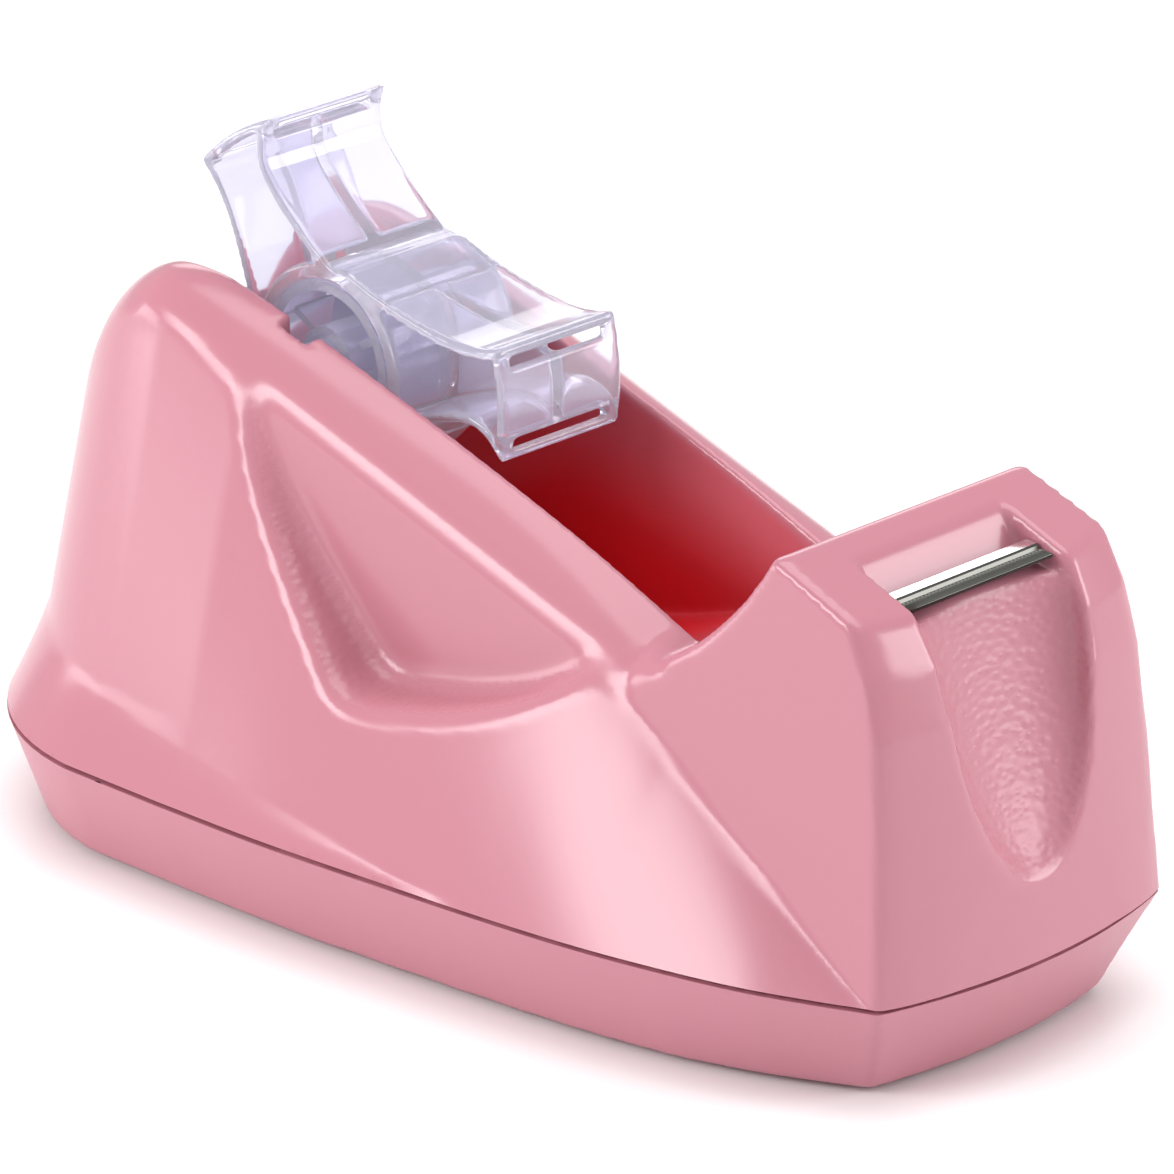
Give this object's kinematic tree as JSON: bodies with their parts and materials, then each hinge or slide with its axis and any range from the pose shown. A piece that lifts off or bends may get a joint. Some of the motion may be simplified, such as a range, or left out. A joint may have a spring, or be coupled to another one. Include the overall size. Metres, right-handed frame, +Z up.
{
  "type": "desk tape dispenser",
  "caption": "Weighted desk dispenser for adhesive tape, with a lift-out hub for large and small tape cores and a serrated cutter at the front",
  "frame": {"origin": "on the desk, under the middle of the body's length and width", "axes": "+X towards the cutter, +Y to the left when looking towards the cutter, +Z up"},
  "size_m": [0.1985, 0.1004, 0.1141],
  "materials": {
    "body": "satin",
    "hub": "polished",
    "cutter": "polished",
    "screw": "satin",
    "ballast": "matte",
    "foot": "matte"
  },
  "bodies": {
    "housing": {"upper_shell": "body", "base_tray": "body", "ballast_block": "ballast", "ballast_screws": "screw", "base_screws": "screw", "foot_front_left": "foot", "foot_front_right": "foot", "foot_rear_left": "foot", "foot_rear_right": "foot", "cutter_blade": "cutter", "blade_clamp": "screw", "clamp_screws": "screw"},
    "axle": {"hub_axle": "hub"},
    "hub": {"large_core_adapter": "hub", "spool_half_far": "hub", "spool_half_near": "hub"}
  },
  "joints": [
    {"name": "hub_lift", "type": "slide", "parent": "housing", "child": "axle", "axis": [0, 0, 1], "range_m": [0, 0.055]},
    {"name": "hub_spin", "type": "hinge", "parent": "axle", "child": "hub", "pos_m": [-0.03585, 0, 0.0785], "axis": [0, 1, 0], "continuous": true}
  ]
}
